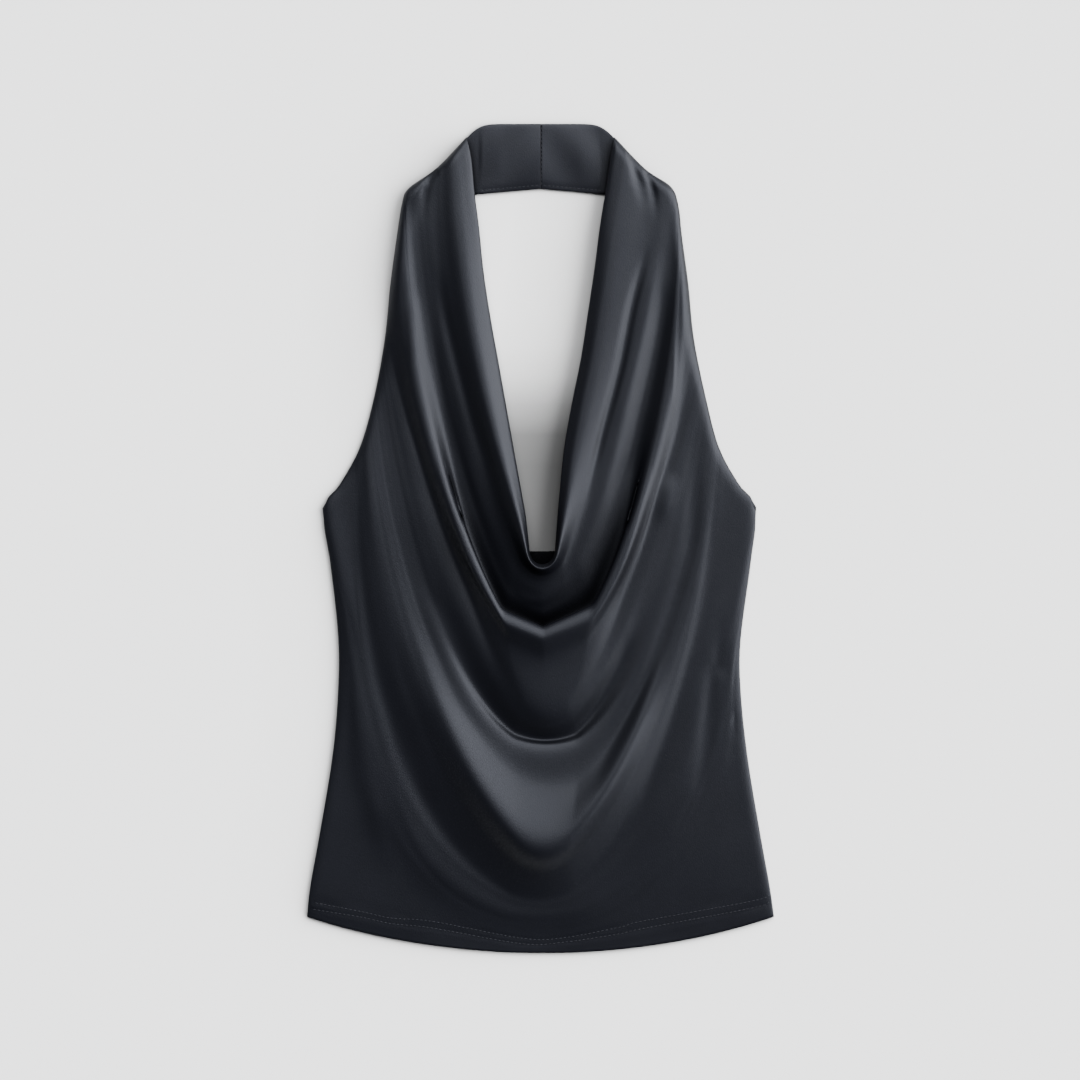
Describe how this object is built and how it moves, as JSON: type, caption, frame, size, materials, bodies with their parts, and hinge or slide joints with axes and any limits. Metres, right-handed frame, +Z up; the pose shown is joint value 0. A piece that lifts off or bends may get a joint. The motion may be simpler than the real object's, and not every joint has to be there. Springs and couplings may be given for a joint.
{
  "type": "cowl neck blouse",
  "caption": "Sleeveless cowl neck top of dark satin, laid flat, with draped folds hanging between two straps and a band behind the neck.",
  "frame": {"origin": "centre of the garment's outline, on the surface it lies on", "axes": "+X across the garment towards its right side as seen from above, +Y from the hem to the neck, +Z up from the surface it lies on"},
  "size_m": [0.42, 0.7456, 0.0285],
  "materials": {
    "front_panel_satin": "dark navy satin, soft sheen",
    "back_panel_satin": "dark navy satin, soft sheen",
    "neckband_left_satin": "dark navy satin, soft sheen",
    "neckband_right_satin": "dark navy satin, soft sheen"
  },
  "bodies": {
    "root": {"front_panel": "front_panel_satin", "back_panel": "back_panel_satin", "neckband_left": "neckband_left_satin", "neckband_right": "neckband_right_satin"}
  },
  "joints": []
}
